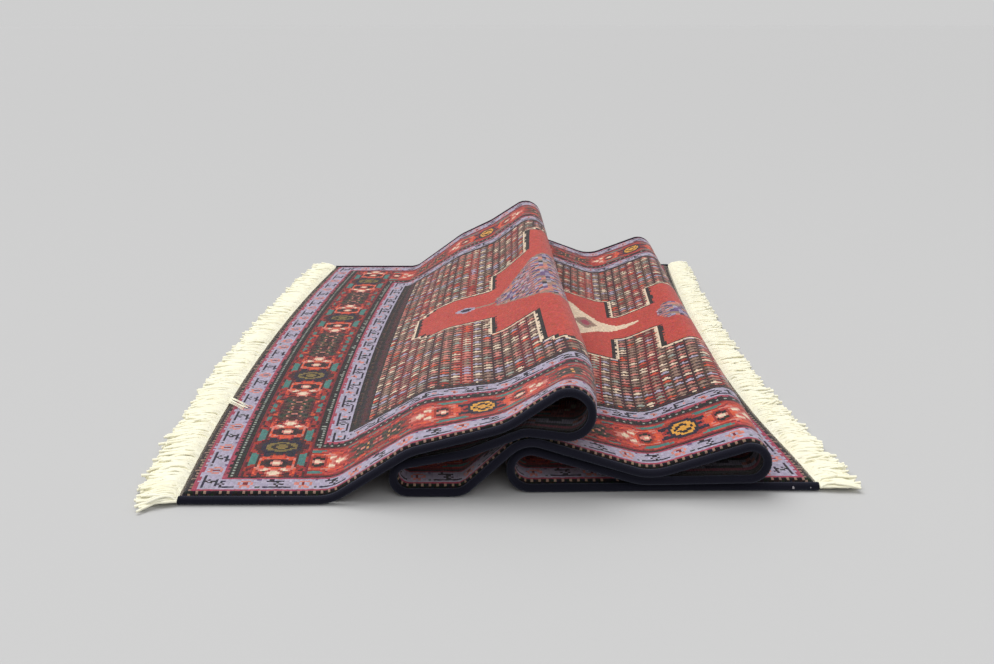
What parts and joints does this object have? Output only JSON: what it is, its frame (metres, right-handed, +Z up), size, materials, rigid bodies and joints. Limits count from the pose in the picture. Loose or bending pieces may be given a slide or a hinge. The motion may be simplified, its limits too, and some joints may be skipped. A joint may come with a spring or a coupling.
{
  "type": "folded persian rug",
  "caption": "Small hand-knotted wool rug lying pile up on the floor, pushed into two soft folds across its width, with cream cotton fringes at both ends.",
  "frame": {"origin": "on the floor, under the middle of the whole rug's box", "axes": "+X along the rug's length, from the end beside the taller fold to the end beside the lower fold; +Y across its width, from the edge the picture shows in front to the far edge; +Z up"},
  "size_m": [0.5796, 0.7718, 0.1027],
  "materials": {
    "wool_pile": "matte",
    "selvedge_wool": "matte",
    "cotton_fringe": "matte"
  },
  "bodies": {
    "root": {"rug_body": "wool_pile", "selvedge_near": "selvedge_wool", "selvedge_far": "selvedge_wool", "fringe_left": "cotton_fringe", "fringe_right": "cotton_fringe"}
  },
  "joints": []
}
